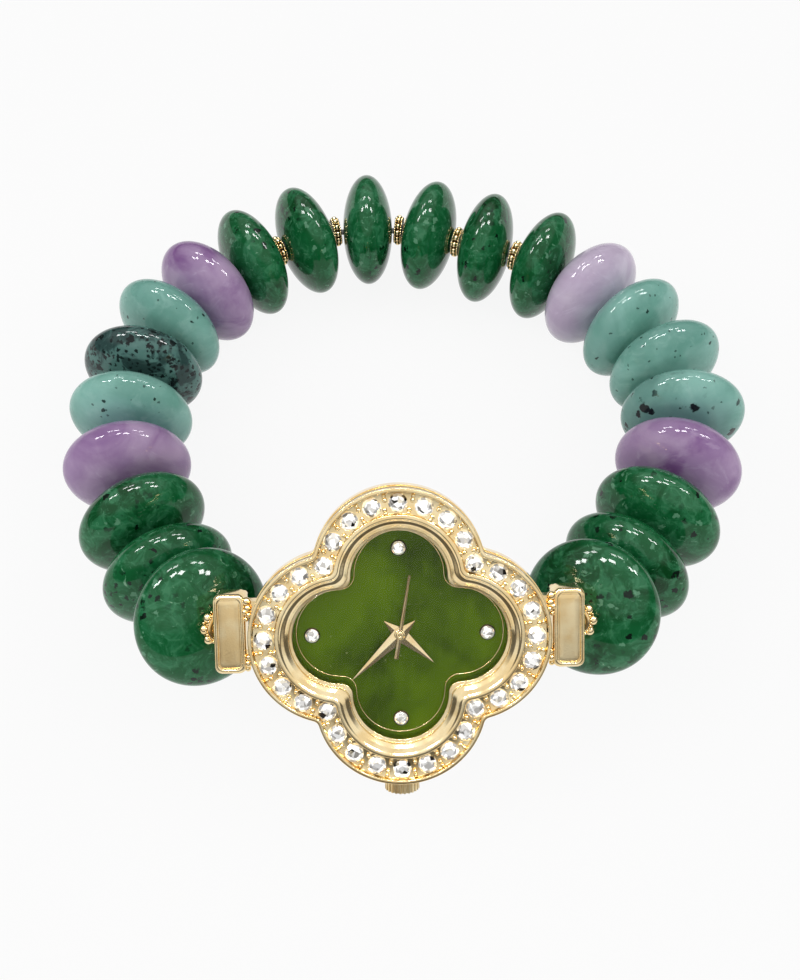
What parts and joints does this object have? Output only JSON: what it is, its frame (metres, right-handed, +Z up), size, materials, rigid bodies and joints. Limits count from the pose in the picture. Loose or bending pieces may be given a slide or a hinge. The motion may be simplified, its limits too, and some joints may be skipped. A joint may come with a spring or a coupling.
{
  "type": "bead watch band",
  "caption": "Elastic bead watch band of green, lilac and teal stone discs with a four-lobed gold watch head, clear stones round its dial.",
  "frame": {"origin": "centre of the table under the band, below the middle of the overall box", "axes": "+Y away from the watch head through the middle of the band, +X to the right with the watch head nearest, +Z up from the table"},
  "size_m": [0.0888, 0.0934, 0.0294],
  "materials": {
    "green_stone": "polished, mottled",
    "lilac_stone": "polished, veined",
    "teal_stone": "polished",
    "speckled_stone": "polished, speckled black",
    "gold": "polished pale gold plating",
    "stone_clear": "faceted, clear",
    "crystal": "polished",
    "dial": "mother of pearl, silky",
    "cord": "elastic, pale",
    "steel": "brushed",
    "movement": "brushed",
    "plastic": "moulded",
    "board": "laminate",
    "copper": "enamelled wire",
    "seal": "soft"
  },
  "bodies": {
    "watch_head": {"case_middle": "gold", "bezel": "gold", "bezel_stones": "stone_clear", "crystal": "crystal", "dial": "dial", "dial_stones": "stone_clear", "movement_ring": "plastic", "main_plate": "movement", "train_bridge": "movement", "movement_screws": "steel", "battery_cell": "steel", "circuit_board": "board", "quartz_oscillator": "steel", "coil_winding": "copper", "stator": "steel", "case_back": "steel", "case_back_gasket": "seal"},
    "band": {"elastic_cord": "cord"},
    "crown_seal": {"crown_gasket": "seal"},
    "crown_knob": {"crown": "gold", "stem": "steel"},
    "seconds_arbor": {"seconds_wheel": "movement", "seconds_hand": "gold"},
    "rotor_arbor": {"rotor": "steel"},
    "intermediate_arbor": {"intermediate_wheel": "movement"},
    "third_arbor": {"third_wheel": "movement"},
    "minute_arbor": {"centre_wheel": "movement", "minute_hand": "gold"},
    "motion_arbor": {"minute_wheel": "movement"},
    "hour_arbor": {"hour_wheel": "movement", "hour_hand": "gold"},
    "bead_left_1_body": {"bead_left_1": "green_stone"},
    "bead_left_2_body": {"bead_left_2": "green_stone"},
    "bead_left_3_body": {"bead_left_3": "green_stone"},
    "bead_left_4_body": {"bead_left_4": "lilac_stone"},
    "bead_left_5_body": {"bead_left_5": "teal_stone"},
    "bead_left_6_body": {"bead_left_6": "speckled_stone"},
    "bead_left_7_body": {"bead_left_7": "teal_stone"},
    "bead_left_8_body": {"bead_left_8": "lilac_stone"},
    "bead_back_1_body": {"bead_back_1": "green_stone"},
    "bead_back_2_body": {"bead_back_2": "green_stone"},
    "bead_back_3_body": {"bead_back_3": "green_stone"},
    "bead_back_4_body": {"bead_back_4": "green_stone"},
    "bead_back_5_body": {"bead_back_5": "green_stone"},
    "bead_back_6_body": {"bead_back_6": "green_stone"},
    "bead_right_8_body": {"bead_right_8": "lilac_stone"},
    "bead_right_7_body": {"bead_right_7": "teal_stone"},
    "bead_right_6_body": {"bead_right_6": "teal_stone"},
    "bead_right_5_body": {"bead_right_5": "speckled_stone"},
    "bead_right_4_body": {"bead_right_4": "lilac_stone"},
    "bead_right_3_body": {"bead_right_3": "green_stone"},
    "bead_right_2_body": {"bead_right_2": "green_stone"},
    "bead_right_1_body": {"bead_right_1": "green_stone"},
    "spacer_back_1_body": {"spacer_back_1": "gold"},
    "spacer_back_2_body": {"spacer_back_2": "gold"},
    "spacer_back_3_body": {"spacer_back_3": "gold"},
    "spacer_back_4_body": {"spacer_back_4": "gold"},
    "spacer_back_5_body": {"spacer_back_5": "gold"},
    "spacer_left_end_body": {"spacer_left_end": "gold"},
    "spacer_right_end_body": {"spacer_right_end": "gold"}
  },
  "joints": [
    {"name": "band_tilt", "type": "hinge", "parent": "watch_head", "child": "band", "pos_m": [-0.00097, -0.03122, 0.0147], "axis": [0.9997, 0.0238, -0.0019], "range_deg": [-25, 12]},
    {"name": "bead_back_3_stretch", "type": "slide", "parent": "band", "child": "bead_back_3_body", "axis": [-0.0672, 0.9977, 0], "range_m": [0, 0.00864], "stiffness_N_per_m": 120, "deforming": ["elastic_cord"]},
    {"name": "bead_left_1_stretch", "type": "slide", "parent": "band", "child": "bead_left_1_body", "axis": [-0.9764, 0.2159, 0], "range_m": [0, 0.00281]},
    {"name": "bead_left_2_stretch", "type": "slide", "parent": "band", "child": "bead_left_2_body", "axis": [-0.9136, 0.4066, 0], "range_m": [0, 0.00369]},
    {"name": "bead_left_3_stretch", "type": "slide", "parent": "band", "child": "bead_left_3_body", "axis": [-0.8508, 0.5255, 0], "range_m": [0, 0.00453]},
    {"name": "bead_left_4_stretch", "type": "slide", "parent": "band", "child": "bead_left_4_body", "axis": [-0.7801, 0.6256, 0], "range_m": [0, 0.0054]},
    {"name": "bead_left_5_stretch", "type": "slide", "parent": "band", "child": "bead_left_5_body", "axis": [-0.6988, 0.7154, 0], "range_m": [0, 0.00615]},
    {"name": "bead_left_6_stretch", "type": "slide", "parent": "band", "child": "bead_left_6_body", "axis": [-0.6201, 0.7845, 0], "range_m": [0, 0.00681]},
    {"name": "bead_left_7_stretch", "type": "slide", "parent": "band", "child": "bead_left_7_body", "axis": [-0.528, 0.8493, 0], "range_m": [0, 0.00741]},
    {"name": "bead_left_8_stretch", "type": "slide", "parent": "band", "child": "bead_left_8_body", "axis": [-0.4249, 0.9053, 0], "range_m": [0, 0.00788]},
    {"name": "bead_back_1_stretch", "type": "slide", "parent": "band", "child": "bead_back_1_body", "axis": [-0.3161, 0.9487, 0], "range_m": [0, 0.00826]},
    {"name": "bead_back_2_stretch", "type": "slide", "parent": "band", "child": "bead_back_2_body", "axis": [-0.1967, 0.9805, 0], "range_m": [0, 0.00856]},
    {"name": "bead_back_4_stretch", "type": "slide", "parent": "band", "child": "bead_back_4_body", "axis": [0.0612, 0.9981, 0], "range_m": [0, 0.00854]},
    {"name": "bead_back_5_stretch", "type": "slide", "parent": "band", "child": "bead_back_5_body", "axis": [0.1836, 0.983, 0], "range_m": [0, 0.00834]},
    {"name": "bead_back_6_stretch", "type": "slide", "parent": "band", "child": "bead_back_6_body", "axis": [0.3105, 0.9506, 0], "range_m": [0, 0.00816]},
    {"name": "bead_right_8_stretch", "type": "slide", "parent": "band", "child": "bead_right_8_body", "axis": [0.4239, 0.9057, 0], "range_m": [0, 0.00782]},
    {"name": "bead_right_7_stretch", "type": "slide", "parent": "band", "child": "bead_right_7_body", "axis": [0.5298, 0.8481, 0], "range_m": [0, 0.0074]},
    {"name": "bead_right_6_stretch", "type": "slide", "parent": "band", "child": "bead_right_6_body", "axis": [0.6274, 0.7787, 0], "range_m": [0, 0.00696]},
    {"name": "bead_right_5_stretch", "type": "slide", "parent": "band", "child": "bead_right_5_body", "axis": [0.7147, 0.6995, 0], "range_m": [0, 0.00632]},
    {"name": "bead_right_4_stretch", "type": "slide", "parent": "band", "child": "bead_right_4_body", "axis": [0.7832, 0.6217, 0], "range_m": [0, 0.0055]},
    {"name": "bead_right_3_stretch", "type": "slide", "parent": "band", "child": "bead_right_3_body", "axis": [0.8423, 0.5391, 0], "range_m": [0, 0.00459]},
    {"name": "bead_right_2_stretch", "type": "slide", "parent": "band", "child": "bead_right_2_body", "axis": [0.8968, 0.4423, 0], "range_m": [0, 0.00369]},
    {"name": "bead_right_1_stretch", "type": "slide", "parent": "band", "child": "bead_right_1_body", "axis": [0.9615, 0.275, 0], "range_m": [0, 0.00279]},
    {"name": "spacer_back_1_stretch", "type": "slide", "parent": "band", "child": "spacer_back_1_body", "axis": [-0.2567, 0.9665, 0], "range_m": [0, 0.00842]},
    {"name": "spacer_back_2_stretch", "type": "slide", "parent": "band", "child": "spacer_back_2_body", "axis": [-0.1332, 0.9911, 0], "range_m": [0, 0.00871]},
    {"name": "spacer_back_3_stretch", "type": "slide", "parent": "band", "child": "spacer_back_3_body", "axis": [-0.0024, 1, 0], "range_m": [0, 0.00867]},
    {"name": "spacer_back_4_stretch", "type": "slide", "parent": "band", "child": "spacer_back_4_body", "axis": [0.122, 0.9925, 0], "range_m": [0, 0.00843]},
    {"name": "spacer_back_5_stretch", "type": "slide", "parent": "band", "child": "spacer_back_5_body", "axis": [0.2478, 0.9688, 0], "range_m": [0, 0.00828]},
    {"name": "spacer_left_end_stretch", "type": "slide", "parent": "band", "child": "spacer_left_end_body", "axis": [-0.9937, 0.1123, 0], "range_m": [0, 0.00244]},
    {"name": "spacer_right_end_stretch", "type": "slide", "parent": "band", "child": "spacer_right_end_body", "axis": [0.9867, 0.1625, 0], "range_m": [0, 0.00244]},
    {"name": "crown_pull", "type": "slide", "parent": "watch_head", "child": "crown_seal", "axis": [0.0163, -0.7371, -0.6756], "range_m": [0, 0.0006]},
    {"name": "crown_turn", "type": "hinge", "parent": "crown_seal", "child": "crown_knob", "pos_m": [-0.00094, -0.03226, 0.01584], "axis": [0.0163, -0.7371, -0.6756], "continuous": true},
    {"name": "seconds_turn", "type": "hinge", "parent": "watch_head", "child": "seconds_arbor", "pos_m": [-0.00092, -0.03314, 0.0168], "axis": [0.0161, -0.6754, 0.7373], "continuous": true},
    {"name": "intermediate_turn", "type": "hinge", "parent": "watch_head", "child": "intermediate_arbor", "pos_m": [0.00202, -0.03431, 0.01566], "axis": [0.0161, -0.6754, 0.7373], "continuous": true},
    {"name": "rotor_turn", "type": "hinge", "parent": "watch_head", "child": "rotor_arbor", "pos_m": [0.00158, -0.03635, 0.01379], "axis": [0.0161, -0.6754, 0.7373], "continuous": true},
    {"name": "third_turn", "type": "hinge", "parent": "watch_head", "child": "third_arbor", "pos_m": [-0.00267, -0.03101, 0.01879], "axis": [0.0161, -0.6754, 0.7373], "continuous": true},
    {"name": "minute_turn", "type": "hinge", "parent": "watch_head", "child": "minute_arbor", "pos_m": [-0.00092, -0.03314, 0.0168], "axis": [0.0161, -0.6754, 0.7373], "continuous": true},
    {"name": "motion_turn", "type": "hinge", "parent": "watch_head", "child": "motion_arbor", "pos_m": [0.00025, -0.03157, 0.0182], "axis": [0.0161, -0.6754, 0.7373], "continuous": true},
    {"name": "hour_turn", "type": "hinge", "parent": "watch_head", "child": "hour_arbor", "pos_m": [-0.00092, -0.03314, 0.0168], "axis": [0.0161, -0.6754, 0.7373], "continuous": true}
  ],
  "couplings": [
    {"joint": "bead_left_1_stretch", "follows": "bead_back_3_stretch", "ratio": 0.31954},
    {"joint": "bead_left_2_stretch", "follows": "bead_back_3_stretch", "ratio": 0.42132},
    {"joint": "bead_left_3_stretch", "follows": "bead_back_3_stretch", "ratio": 0.51829},
    {"joint": "bead_left_4_stretch", "follows": "bead_back_3_stretch", "ratio": 0.61948},
    {"joint": "bead_left_5_stretch", "follows": "bead_back_3_stretch", "ratio": 0.70584},
    {"joint": "bead_left_6_stretch", "follows": "bead_back_3_stretch", "ratio": 0.78189},
    {"joint": "bead_left_7_stretch", "follows": "bead_back_3_stretch", "ratio": 0.85149},
    {"joint": "bead_left_8_stretch", "follows": "bead_back_3_stretch", "ratio": 0.90573},
    {"joint": "bead_back_1_stretch", "follows": "bead_back_3_stretch", "ratio": 0.95007},
    {"joint": "bead_back_2_stretch", "follows": "bead_back_3_stretch", "ratio": 0.98443},
    {"joint": "bead_back_4_stretch", "follows": "bead_back_3_stretch", "ratio": 0.98203},
    {"joint": "bead_back_5_stretch", "follows": "bead_back_3_stretch", "ratio": 0.9594},
    {"joint": "bead_back_6_stretch", "follows": "bead_back_3_stretch", "ratio": 0.93806},
    {"joint": "bead_right_8_stretch", "follows": "bead_back_3_stretch", "ratio": 0.89852},
    {"joint": "bead_right_7_stretch", "follows": "bead_back_3_stretch", "ratio": 0.85041},
    {"joint": "bead_right_6_stretch", "follows": "bead_back_3_stretch", "ratio": 0.79969},
    {"joint": "bead_right_5_stretch", "follows": "bead_back_3_stretch", "ratio": 0.726},
    {"joint": "bead_right_4_stretch", "follows": "bead_back_3_stretch", "ratio": 0.63027},
    {"joint": "bead_right_3_stretch", "follows": "bead_back_3_stretch", "ratio": 0.52497},
    {"joint": "bead_right_2_stretch", "follows": "bead_back_3_stretch", "ratio": 0.42159},
    {"joint": "bead_right_1_stretch", "follows": "bead_back_3_stretch", "ratio": 0.31656},
    {"joint": "spacer_back_1_stretch", "follows": "bead_back_3_stretch", "ratio": 0.96855},
    {"joint": "spacer_back_2_stretch", "follows": "bead_back_3_stretch", "ratio": 1.0023},
    {"joint": "spacer_back_3_stretch", "follows": "bead_back_3_stretch", "ratio": 0.99773},
    {"joint": "spacer_back_4_stretch", "follows": "bead_back_3_stretch", "ratio": 0.96932},
    {"joint": "spacer_back_5_stretch", "follows": "bead_back_3_stretch", "ratio": 0.95205},
    {"joint": "spacer_left_end_stretch", "follows": "bead_back_3_stretch", "ratio": 0.27686},
    {"joint": "spacer_right_end_stretch", "follows": "bead_back_3_stretch", "ratio": 0.27611},
    {"joint": "intermediate_turn", "follows": "seconds_turn", "ratio": -5},
    {"joint": "rotor_turn", "follows": "seconds_turn", "ratio": 30},
    {"joint": "third_turn", "follows": "seconds_turn", "ratio": -0.13333},
    {"joint": "minute_turn", "follows": "seconds_turn", "ratio": 0.016667},
    {"joint": "motion_turn", "follows": "seconds_turn", "ratio": -0.0055556},
    {"joint": "hour_turn", "follows": "seconds_turn", "ratio": 0.0013889}
  ]
}
